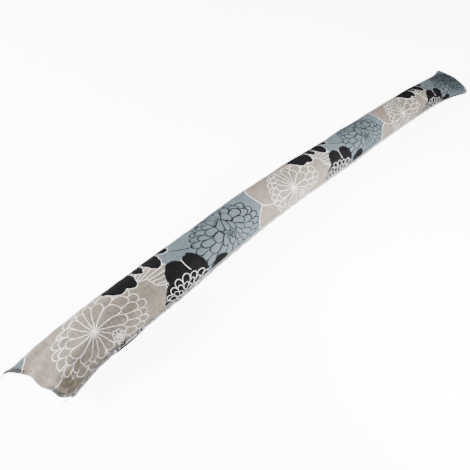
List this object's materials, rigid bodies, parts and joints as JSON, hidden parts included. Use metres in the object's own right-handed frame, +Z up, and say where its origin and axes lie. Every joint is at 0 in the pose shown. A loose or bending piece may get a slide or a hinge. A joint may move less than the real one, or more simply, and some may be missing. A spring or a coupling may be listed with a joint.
{
  "type": "draught excluder",
  "caption": "Slim stuffed cotton tube that lies along the foot of a door, slightly bowed, with flat-sewn ends and an overlocked seam along its front.",
  "frame": {"origin": "on the floor, below the middle of the tube's box", "axes": "+X along the tube towards its far end, +Y to the back, away from the long seam, +Z up"},
  "size_m": [0.937, 0.0868, 0.0431],
  "materials": {
    "printed_cotton": "plain-woven cotton, printed in taupe, blue-grey and black with outlined flowers, dull"
  },
  "bodies": {
    "root": {"cover": "printed_cotton"}
  },
  "joints": []
}
